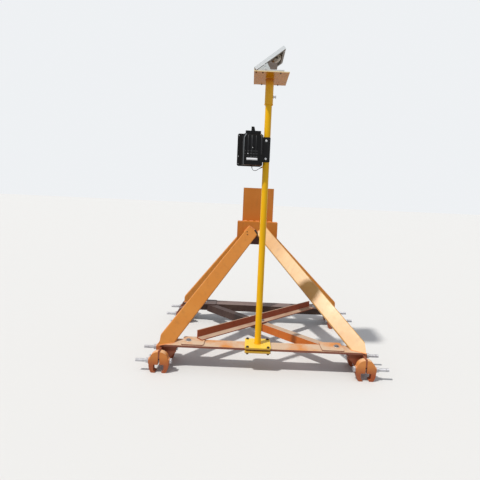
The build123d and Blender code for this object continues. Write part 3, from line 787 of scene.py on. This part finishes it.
# %% [markdown]
# ## Making a piece
# A piece here is a mesh with its points already in place, an object at the origin, a material and
# a body to ride on. Primitives could be added and then moved and scaled, but such an object keeps
# its own place and size apart from its mesh, and a pattern on object coordinates would slide on
# it. Building the mesh with bmesh puts every point where it belongs from the start.

# %% A piece from a mesh


def new_piece(name, mesh, material, body):
    """An object for a finished mesh, with its material, riding on a body."""
    if material:
        mesh.materials.append(material)
    mesh.shade_smooth()
    piece = bpy.data.objects.new(name, mesh)
    scene.collection.objects.link(piece)
    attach(piece, body)
    return piece


def mesh_of(bm, name):
    """A mesh from a bmesh, which is freed."""
    mesh = bpy.data.meshes.new(name)
    bm.to_mesh(mesh)
    bm.free()
    return mesh


print("a finished mesh becomes a piece")

# %% Faces between loops of points


def skin(bm, loops, capped=True):
    """Faces from each loop of points to the next, and flat ends where they are asked for."""
    count = len(loops[0])
    for low, high in zip(loops, loops[1:]):
        for i in range(count):
            bm.faces.new((low[i], low[(i + 1) % count], high[(i + 1) % count], high[i]))
    if capped:
        bm.faces.new(list(reversed(loops[0])))
        bm.faces.new(loops[-1])


def turned(bm, rings, sides):
    """A closed form of stacked round rings, each a radius and a height."""
    loops = []
    for radius, height in rings:
        loops.append([bm.verts.new((radius * cos(2 * pi * i / sides), radius * sin(2 * pi * i / sides),
                                    height)) for i in range(sides)])
    skin(bm, loops)


print("loops of points become a closed form")

# %% [markdown]
# ## Copies with Geometry Nodes
# A weld bead is a thousand small ripples, and there are dozens of bolts. They could be copied in
# a loop, but a node group does it faster and keeps its few sizes in one place. One group puts a
# form on every point of a guide and turns it the way that the point faces. The other first
# spreads points along a line. The copies are made real, because loose instances are lost when
# the model is saved in other formats. The result is kept as a plain mesh, and the guide goes.

# %% A size that varies at random


def uneven_size(group, start):
    """The size, made smaller at random by up to the unevenness."""
    least = group.nodes.new("ShaderNodeMath")
    least.operation = "SUBTRACT"
    least.inputs[0].default_value = 1.0
    group.links.new(start.outputs["Unevenness"], least.inputs[1])
    chance = group.nodes.new("FunctionNodeRandomValue")
    chance.data_type = "FLOAT"
    chance.inputs[3].default_value = 1.0
    group.links.new(least.outputs[0], chance.inputs[2])
    group.links.new(start.outputs["Seed"], chance.inputs["Seed"])
    size = group.nodes.new("ShaderNodeMath")
    size.operation = "MULTIPLY"
    group.links.new(start.outputs["Size"], size.inputs[0])
    group.links.new(chance.outputs[1], size.inputs[1])
    return size.outputs[0]


print("uneven sizes ready")

# %% Node groups that copy a form


def scatter_group(name, along_line):
    """A node group with named inputs for a form, its size and spacing, and a material."""
    group = bpy.data.node_groups.new(name, "GeometryNodeTree")
    inputs = (("Geometry", "Geometry"), ("Form", "Object"), ("Size", "Float"), ("Spacing", "Float"),
              ("Unevenness", "Float"), ("Seed", "Int"), ("Finish", "Material"))
    for label, kind in inputs:
        group.interface.new_socket(label, in_out="INPUT", socket_type="NodeSocket" + kind)
    group.interface.new_socket("Geometry", in_out="OUTPUT", socket_type="NodeSocketGeometry")
    make = group.nodes.new
    link = group.links.new
    start = make("NodeGroupInput")
    points = start.outputs["Geometry"]
    if along_line:
        curve = make("GeometryNodeMeshToCurve")
        spread = make("GeometryNodeResampleCurve")
        spread.mode = "LENGTH"
        link(points, curve.inputs["Mesh"])
        link(curve.outputs["Curve"], spread.inputs["Curve"])
        link(start.outputs["Spacing"], spread.inputs["Length"])
        points = spread.outputs["Curve"]
    form = make("GeometryNodeObjectInfo")
    link(start.outputs["Form"], form.inputs["Object"])
    place = make("GeometryNodeInstanceOnPoints")
    link(points, place.inputs["Points"])
    link(form.outputs["Geometry"], place.inputs["Instance"])
    link(uneven_size(group, start), place.inputs["Scale"])
    if not along_line:
        facing = make("GeometryNodeInputNamedAttribute")
        facing.data_type = "FLOAT_VECTOR"
        facing.inputs["Name"].default_value = "facing"
        align = make("FunctionNodeAlignRotationToVector")
        align.axis = "Z"
        link(facing.outputs["Attribute"], align.inputs["Vector"])
        link(align.outputs[0], place.inputs["Rotation"])
    real = make("GeometryNodeRealizeInstances")
    paint = make("GeometryNodeSetMaterial")
    end = make("NodeGroupOutput")
    link(place.outputs["Instances"], real.inputs["Geometry"])
    link(real.outputs["Geometry"], paint.inputs["Geometry"])
    link(start.outputs["Finish"], paint.inputs["Material"])
    link(paint.outputs["Geometry"], end.inputs["Geometry"])
    return group


on_points = scatter_group("form_on_points", False)
on_line = scatter_group("form_along_line", True)
print("node groups", on_points.name, on_line.name)

# %% Running a group on a guide


def scatter(name, group, guide, form, body, material, size=1.0, spacing=0.01, unevenness=0.0, seed=1):
    """One plain mesh piece from a guide mesh and a form."""
    carrier = bpy.data.objects.new(name + "_guide", guide)
    scene.collection.objects.link(carrier)
    modifier = carrier.modifiers.new("scatter", "NODES")
    modifier.node_group = group
    values = {"Form": form, "Size": size, "Spacing": spacing, "Unevenness": unevenness, "Seed": seed,
              "Finish": material}
    for item in group.interface.items_tree:
        if item.in_out == "INPUT" and item.name in values:
            modifier[item.identifier] = values[item.name]
    bpy.context.view_layer.update()
    graph = bpy.context.evaluated_depsgraph_get()
    mesh = bpy.data.meshes.new_from_object(carrier.evaluated_get(graph))
    mesh.name = name
    bpy.data.objects.remove(carrier)
    print(name, len(mesh.polygons), "faces")
    return new_piece(name, mesh, None, body)


print("groups run on a guide")

# %% Guides of points and of lines


def points_guide(places):
    """A mesh of loose points, each with the way that its form faces."""
    mesh = bpy.data.meshes.new("guide")
    mesh.from_pydata([place for place, _ in places], [], [])
    facing = mesh.attributes.new("facing", "FLOAT_VECTOR", "POINT")
    for index, (_, way) in enumerate(places):
        facing.data[index].vector = way
    return mesh


def lines_guide(lines):
    """A mesh of lines without faces."""
    mesh = bpy.data.meshes.new("guide")
    points, edges = [], []
    for line in lines:
        first = len(points)
        points += [tuple(point) for point in line]
        edges += [(first + i, first + i + 1) for i in range(len(line) - 1)]
    mesh.from_pydata(points, edges, [])
    return mesh


print("guides ready")

# %% [markdown]
# ## Forms to copy
# Bolts, nuts, washers and screws on the stop are standard ones, the same but for their size. So
# each is made once as a form of unit size that faces up, and a group scales and turns it. All
# but the bead are turned from a short list of radii and heights, with six sides where a spanner
# fits. The chamfers matter most, since they catch the light. The forms stay out of the scene.

# %% Making a form
forms = bpy.data.collections.new("forms")


def form_object(name, bm):
    """A form kept out of the scene, for the node groups."""
    mesh = mesh_of(bm, name)
    mesh.shade_smooth()
    made = bpy.data.objects.new(name, mesh)
    forms.objects.link(made)
    return made


def turned_form(name, parts):
    """A form of turned parts, each with its rings and its number of sides."""
    bm = bmesh.new()
    for rings, sides in parts:
        turned(bm, rings, sides)
    return form_object(name, bm)


print("forms are kept in", forms.name)

# %% Bolt, nut, washer, screw and bead
washer_foot = [(1.15, 0), (1.15, 0.12), (1.08, 0.18)]


def washer_form():
    """The ring of a washer that shows round a head, of 1 m radius."""
    bm = bmesh.new()
    sides = 32
    profile = [(0.76, 0.02), (0.76, 0.0), (1.0, 0.0), (1.02, 0.05), (1.0, 0.10), (0.76, 0.10)]
    loops = [[bm.verts.new((r * cos(2 * pi * i / sides), r * sin(2 * pi * i / sides), z))
              for i in range(sides)] for r, z in profile]
    skin(bm, loops + loops[:1], False)
    return form_object("washer_form", bm)


def bead_form():
    """One ripple of a weld bead, of 1 m radius."""
    bm = bmesh.new()
    bmesh.ops.create_icosphere(bm, subdivisions=1, radius=1)
    return form_object("bead_form", bm)


bolt = turned_form("bolt_form", [(washer_foot, 28),
                                 ([(0.90, 0.17), (0.92, 0.24), (0.92, 0.72), (0.80, 0.80)], 6)])
nut = turned_form("nut_form", [(washer_foot, 28),
                               ([(0.86, 0.17), (0.92, 0.24), (0.92, 0.86), (0.84, 0.94)], 6),
                               ([(0.5, 0.9), (0.5, 1.2), (0.42, 1.28)], 16)])
screw = turned_form("screw_form", [([(1.0, 0), (1.0, 0.35), (0.8, 0.6), (0.45, 0.7)], 20)])
washer = washer_form()
bead = bead_form()

# %% [markdown]
# ## Welds
# Thick beads hold the legs to the crossbars and the head, and thinner ones go round the pole's
# foot and the sleeve. A smooth fillet would be simple, but it would look cast. What tells a weld
# is the row of ripples that the torch leaves, so small round forms of uneven size run along each
# seam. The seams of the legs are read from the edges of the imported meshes, so that they follow
# the rounded corners of the hollow section and the slope of its cut.

# %% Edges of a flat face
same_point = 1e-5
face_reach = 0.0005


def rim_of(node, direction, level):
    """The outlines of a piece's flat faces that look along a direction at a level, longest first."""
    axis = max(range(3), key=lambda i: abs(direction[i]))
    bm = bmesh.new()
    bm.from_mesh(nodes[node].data)
    bmesh.ops.remove_doubles(bm, verts=bm.verts, dist=same_point)
    flat = {f for f in bm.faces if f.normal.dot(Vector(direction)) > 0.99
            and all(abs(v.co[axis] - level) < face_reach for v in f.verts)}
    left = {e for e in bm.edges if sum(f in flat for f in e.link_faces) == 1}
    loops = []
    while left:
        edge = next(e for e in bm.edges if e in left)
        left.discard(edge)
        chain = [edge.verts[0], edge.verts[1]]
        following = edge
        while following:
            following = next((e for e in chain[-1].link_edges if e in left), None)
            if following:
                left.discard(following)
                chain.append(following.other_vert(chain[-1]))
        loops.append([v.co.copy() for v in chain])
    bm.free()
    return sorted(loops, key=len, reverse=True)


print("faces count as flat within", face_reach)

# %% Beads at the feet and heads of the legs
ripple_unevenness = 0.3
leg_bead, leg_step = 0.0055, 0.004
leg_feet = [rim_of(f"{end}_leg_{side}", (0, 0, -1), bar_top)[0] for end in ends for side in sides]
leg_heads = [rim_of(f"rear_leg_{side}", (0, 1, 0), head[0].y)[0] for side in sides]


def weld(name, lines, material, size, step, seed, body=stop):
    """A bead of ripples of a size along each line, a step apart."""
    guide = lines_guide(lines)
    return scatter(name, on_line, guide, bead, body, material, size, step, ripple_unevenness, seed)


weld("weld_leg_feet", leg_feet, weld_paint, leg_bead, leg_step, 3)
weld("weld_leg_heads", leg_heads, weld_paint, leg_bead, leg_step, 5)

# %% Beads round the pole's foot and the sleeve's top
pole_seam, sleeve_seam = 0.0245, 0.03038
round_bead, round_step, round_sides = 0.0045, 0.003, 40


def round_seam(radius, height):
    """A closed line round the pole's axis."""
    return [Vector((pole_x + radius * cos(2 * pi * i / round_sides),
                    pole_y + radius * sin(2 * pi * i / round_sides), height))
            for i in range(round_sides + 1)]


weld("weld_pole_foot", [round_seam(pole_seam, plate_box[1].z)], weld_yellow, round_bead, round_step, 7)
weld("weld_sleeve_top", [round_seam(sleeve_seam, deck[0].z)], weld_yellow, round_bead, round_step, 9,
     panel_head)

# %% Short beads round the striking plate
plate_bead, plate_step = 0.006, 0.004
plate_back = striking[0].y


def stitches(start, end, count):
    """Short lines spread along a seam, with gaps as long as the lines."""
    start, end = Vector(start), Vector(end)
    return [[start.lerp(end, (i + 0.25) / count), start.lerp(end, (i + 0.75) / count)]
            for i in range(count)]


seam = stitches((striking[0].x, plate_back, head[1].z), (striking[1].x, plate_back, head[1].z), 5)
for x in (striking[0].x, striking[1].x):
    seam += stitches((x, plate_back, head[0].z), (x, plate_back, head[1].z), 4)
weld("weld_striking_plate", seam, weld_paint, plate_bead, plate_step, 11)

# %% Beads under the crossbars and at the brace's ends
foot_bead, brace_bead, thin_step = 0.0045, 0.004, 0.0035
seam_length, seam_spread = 0.108, 0.041
bar_thickness = {"rear": 0.016, "front": 0.012}
brace_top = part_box("brace_plates")[1].z
brace_ends = [((-0.508, -0.458), (-0.463, -0.505)), ((0.496, 0.488), (0.541, 0.441))]


def foot_seams(end, side):
    """The two lines under a crossbar, from the foot's inner side outwards."""
    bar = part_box(f"{end}_crossbar")
    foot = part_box(f"{end}_{side}_foot")
    middle = (bar[0].y + bar[1].y) / 2
    under = bar[1].z - bar_thickness[end]
    inner = foot[1].x if side == "left" else foot[0].x
    outer = inner - seam_length if side == "left" else inner + seam_length
    return [[Vector((inner, y, under)), Vector((outer, y, under))]
            for y in (middle - seam_spread, middle + seam_spread)]


seam = [line for end in ends for side in sides for line in foot_seams(end, side)]
brace_seams = [[(x, y, brace_top) for x, y in line] for line in brace_ends]
weld("weld_feet", seam, weld_dark, foot_bead, thin_step, 13)
weld("weld_brace", brace_seams, weld_dark, brace_bead, thin_step, 15)

# %% [markdown]
# ## Small bolts and screws
# Four bolts clamp the pole's foot round the crossbar, with their nuts below, two hold the lamp's
# bracket, and smaller ones the deck and the panel. They are too small to be worth a piece each
# in the model, but a joint without its bolts looks like a toy. Each set is one mesh, made by the
# group that copies a form to points. Their places count from the edges of the plates they hold.

# %% Bolts of the pole's foot


def fasten(name, form, places, size, material=zinc, body=stop):
    """A form of a size at each place, facing its way."""
    return scatter(name, on_points, points_guide(places), form, body, material, size)


foot_bolt = 0.011
bolt_in_x, bolt_in_y = 0.020, 0.014
up, down, to_rear = (0, 0, 1), (0, 0, -1), (0, -1, 0)
foot_spots = [(x, y) for x in (plate_box[0].x + bolt_in_x, plate_box[1].x - bolt_in_x)
              for y in (plate_box[0].y + bolt_in_y, plate_box[1].y - bolt_in_y)]
fasten("pole_foot_bolts", bolt, [((x, y, plate_box[1].z), up) for x, y in foot_spots], foot_bolt,
       dark_steel)
fasten("pole_foot_nuts", nut, [((x, y, clamp_box[0].z), down) for x, y in foot_spots], foot_bolt,
       dark_steel)

# %% Bolts of the lamp's bracket and nuts under the deck
bracket_bolt, deck_nut = 0.0075, 0.0048
bracket_x = pole_x - 0.006
bracket_heights = (bracket[0].z + 0.025, bracket[1].z - 0.026)
deck_left, deck_right, deck_corner = -0.094, 0.030, -0.140
deck_rear, deck_front = pole_y - 0.150, pole_y + 0.160
deck_spots = [(x, y) for x in (deck_left, deck_right) for y in (deck_rear, deck_front)]
deck_spots.append((deck_corner, deck_rear))
fasten("lamp_bracket_bolts", bolt, [((bracket_x, bracket[0].y, z), to_rear) for z in bracket_heights],
       bracket_bolt)
fasten("deck_nuts", nut, [((x, y, deck[0].z), down) for x, y in deck_spots], deck_nut, dark_steel,
       panel_head)

# %% Washers of the braces and bolts of the panel's cheeks
washer_radius, cheek_bolt = 0.0235, 0.0045
brace_x, brace_rear, brace_front = 0.566, -0.508, 0.526
cheek_bolt_places = ((-0.084, 2.212), (-0.078, 2.190))
washer_spots = [((x, y, brace_top), up) for x in (-brace_x, brace_x) for y in (brace_rear, brace_front)]
cheek_spots = [((x, y, z), (0, way, 0)) for y, way in ((cheeks[0].y, -1), (cheeks[1].y, 1))
               for x, z in cheek_bolt_places]
fasten("plate_washers", washer, washer_spots, washer_radius)
fasten("cheek_bolts", bolt, cheek_spots, cheek_bolt, body=panel_head)

# %% [markdown]
# ## The solar panel's cells
# Under the glass lie four rows of nine cells, and two silver lines run up each file of four. A
# pattern in the material could draw them, but its lines would blur from near by, and real cells
# have cut corners. So one cell and one line are thin forms, copied over the laminate's face.
# The panel is tilted, so their places are counted in the panel's own directions, up the slope
# and out of the glass, and then turned into the frame of the model.

# %% Directions of the panel
up_slope = Vector((cos(panel_tilt), 0, sin(panel_tilt)))
panel_normal = Vector((-sin(panel_tilt), 0, cos(panel_tilt)))
panel_start = Vector((rim[0].x + rim_depth * sin(panel_tilt), pole_y, rim[0].z))
panel_rise = rim_depth - 0.001


def on_panel(x, y, z):
    """A point of the panel's own frame."""
    return panel_start + up_slope * x + Vector((0, y, 0)) + panel_normal * z


print("panel normal", [round(part, 3) for part in panel_normal])

# %% Thin forms with cut corners


def slab_form(name, width, depth, height, corner):
    """A flat form with cut corners, its underside at zero and its upper half drawn in, facing +Z."""
    bm = bmesh.new()
    w, d = width / 2, depth / 2
    outline = [(w - corner, -d), (w, corner - d), (w, d - corner), (w - corner, d),
               (corner - w, d), (-w, d - corner), (-w, corner - d), (corner - w, -d)]
    inset = height / 2
    loops = [[bm.verts.new((x, y, 0)) for x, y in outline],
             [bm.verts.new((x, y, height - inset)) for x, y in outline],
             [bm.verts.new((x * (1 - inset / w), y * (1 - inset / d), height)) for x, y in outline]]
    skin(bm, loops)
    return form_object(name, bm)


cell_form = slab_form("cell_form", 0.054, 0.031, 0.0004, 0.003)
busbar_form = slab_form("busbar_form", 0.232, 0.0014, 0.0003, 0.0004)
dash_form = slab_form("dash_form", 0.012, 0.0016, 0.0008, 0.0003)

# %% Cells, silver lines and the screws of the rim
cell_rows, cell_columns = 4, 9
row_pitch, column_pitch = 0.057, 0.0335
panel_middle = 0.125
line_spread, line_rise = 0.0075, 0.0004
rim_screw, rim_low, rim_high, rim_half = 0.004, 0.011, 0.239, 0.12
columns = [(column - (cell_columns - 1) / 2) * column_pitch for column in range(cell_columns)]
rows = [panel_middle + (row - (cell_rows - 1) / 2) * row_pitch for row in range(cell_rows)]
cell_places = [(on_panel(x, y, panel_rise), panel_normal) for x in rows for y in columns]
line_places = [(on_panel(panel_middle, y + way * line_spread, panel_rise + line_rise), panel_normal)
               for y in columns for way in (-1, 1)]
rim_spots = [(on_panel(x, y, 0), -panel_normal) for x in (rim_low, rim_high) for y in (-rim_half, rim_half)]
fasten("panel_cells", cell_form, cell_places, 1.0, cell_blue, panel_head)
fasten("panel_busbars", busbar_form, line_places, 1.0, aluminium, panel_head)
fasten("rim_screws", screw, rim_spots, rim_screw, zinc, panel_head)

# %% [markdown]
# ## The lamp's back
# The lamp is seen from behind. Its case has raised ribs, a grey rod that bends over at the top, a
# pale edge on one shoulder, a blank label, two dots and short dashes of louvres. The shoulder's edge
# is a painted highlight where the sun catches the case, and the rod's pale grey also stands for the
# sheen of the case's left edge. All of it could be bump on the case, but ribs and rod stand out far
# enough to catch the sun from the side. So the ribs and the label are rounded bands whose ends run
# into the case, the rod and the edge are round bars swept along a few points, and the smallest marks
# are copied forms.

# %% Rounded bands and round bars
band_root = 0.001


def band(bm, x0, x1, z0, z1, back, rise, steps=6):
    """A strip between two X and two Z places that bows out of a back face."""
    rows = []
    for i in range(steps + 1):
        x = x0 + (x1 - x0) * i / steps
        lift = rise * sin(pi * i / steps) ** 0.5
        rows.append([bm.verts.new((x, back + band_root, z0)), bm.verts.new((x, back - lift, z0 + rise)),
                     bm.verts.new((x, back - lift, z1 - rise)), bm.verts.new((x, back + band_root, z1))])
    skin(bm, list(reversed(rows)))


def sweep(name, route, radius, material, sides=10):
    """A round bar that follows a line in the plane of the lamp's back, with closed ends."""
    bm = bmesh.new()
    points = [Vector(place) for place in route]
    depth = Vector((0, 1, 0))
    loops = []
    for i, point in enumerate(points):
        way = points[min(i + 1, len(points) - 1)] - points[max(i - 1, 0)]
        out = depth.cross(way.normalized()).normalized()
        angles = [2 * pi * k / sides for k in range(sides)]
        loops.append([bm.verts.new(point + radius * (cos(a) * out + sin(a) * depth)) for a in angles])
    skin(bm, loops)
    print(name, len(bm.faces), "faces")
    return new_piece(name, mesh_of(bm, name), material, stop)


# %% Ribs of the case
case_left, case_foot = housing[0].x, housing[0].z
case_back = housing[0].y + 0.004
rib_rise = 0.0035
rib_foot, rib_head = case_foot + 0.080, board[1].z - 0.020
rib_widths = {0.040: 0.010, 0.068: 0.012, 0.098: 0.008, 0.136: 0.010}
bm = bmesh.new()
for offset, width in rib_widths.items():
    middle = case_left + offset
    band(bm, middle - width / 2, middle + width / 2, rib_foot, rib_head, case_back, rib_rise)
print("lamp_ribs", len(bm.faces), "faces")
new_piece("lamp_ribs", mesh_of(bm, "lamp_ribs"), rib_black, stop)

# %% Rod and the shoulder's painted highlight


def on_case(x, z, rise=0.0):
    """A point of the case's back, counted from its lower left corner."""
    return (case_left + x, case_back - rise, case_foot + z)


rod_radius, edge_radius = 0.0034, 0.0022
rod_bends = ((0.011, 0.008), (0.011, 0.196), (0.012, 0.203), (0.016, 0.210), (0.027, 0.226))
edge_bends = ((0.127, 0.226), (0.131, 0.223), (0.147, 0.206))
# The rod's pale grey also stands for the sheen of the case's sunlit left edge.
sweep("lamp_rod", [on_case(x, z, rib_rise) for x, z in rod_bends], rod_radius, grey_plastic)
sweep("lamp_shoulder", [on_case(x, z) for x, z in edge_bends], edge_radius, shoulder_glint)

# %% Blank label
label_rise, label_steps = 0.0012, 12
label_left, label_right = case_left + 0.030, case_left + 0.112
label_foot, label_head = case_foot + 0.039, case_foot + 0.056
bm = bmesh.new()
band(bm, label_left, label_right, label_foot, label_head, case_back - rib_rise, label_rise, label_steps)
print("lamp_label", len(bm.faces), "faces")
new_piece("lamp_label", mesh_of(bm, "lamp_label"), label_white, stop)

# %% Dots, louvres and the board's screws
small_screw = 0.0030
dot_places = ((0.041, 0.0035, 1.612), (0.074, 0.0005, 1.657))
louvre_start, louvre_pitch, louvre_count, louvre_rise = 0.024, 0.020, 5, 0.0030
louvre_heights = (1.594, 1.612, 1.632)
screw_x = board[0].x + 0.010
screw_heights = (board[0].z + 0.016, 1.598, board[1].z - 0.016)
dots = [((case_left + x, case_back - rise, z), to_rear) for x, rise, z in dot_places]
dashes = [((case_left + louvre_start + louvre_pitch * i, case_back - louvre_rise, z), to_rear)
          for z in louvre_heights for i in range(louvre_count)]
fasten("lamp_dots", screw, dots, small_screw, label_white)
fasten("lamp_louvres", dash_form, dashes, 1.0, grey_plastic)
fasten("board_screws", screw, [((screw_x, board[0].y, z), to_rear) for z in screw_heights], small_screw)

# %% [markdown]
# ## Marks at the top of the left rear leg
# Two small dark holes are drilled in the leg's face near the head, and where the leg ends beside
# the pole its hollow shows as a dark mouth. Holes could be cut from the mesh, but the packed
# pieces are never changed. So a low dark dome covers the place of each hole, and a short dark bar
# lies in the mouth, as painted shade of their insides. At this size the eye reads both as depth.

# %% Holes and mouth
hole_radius, mouth_radius, mouth_sides = 0.0055, 0.010, 4
leg_face = (0.407, -0.688, 0.601)
leg_hole_places = ((-0.1602, 0.4111, 0.9357), (-0.1560, 0.3916, 0.9105))
mouth_route = ((-0.083, 0.464, 0.952), (-0.052, 0.448, 0.898))
fasten("leg_holes", screw, [(place, leg_face) for place in leg_hole_places], hole_radius, dark_steel)
sweep("leg_mouth", mouth_route, mouth_radius, hole_dark, mouth_sides)

# %% [markdown]
# ## Cable collars
# Where a cable leaves a housing, a ribbed rubber collar keeps it from bending sharply. It could
# be a plain cone, but the grooves are what makes it look soft. It is turned from a list of radii
# that step in and out while they shrink towards the cable, and then set on the route's first
# or last point, along the direction in which the cable runs there.

# %% Ribbed collars
relief_rings = [(0.0044, 0), (0.0044, 0.003), (0.0036, 0.0036), (0.0040, 0.006), (0.0033, 0.0066),
                (0.0036, 0.009), (0.0029, 0.0096), (0.0031, 0.012), (0.0024, 0.014)]
relief_sides = 18


def collar(name, here, there, body):
    """A collar at one end of a cable, along the way to the next point."""
    bm = bmesh.new()
    turned(bm, relief_rings, relief_sides)
    turn = (Vector(there) - Vector(here)).to_track_quat("Z", "Y").to_matrix().to_4x4()
    bm.transform(Matrix.Translation(here) @ turn)
    print(name, len(bm.faces), "faces")
    return new_piece(name, mesh_of(bm, name), rubber, body)


for name, route, body in (("lamp", lamp_route, stop), ("panel", panel_route, panel_head)):
    collar(f"{name}_relief_start", route[0], route[1], body)
    collar(f"{name}_relief_end", route[-1], route[-2], body)
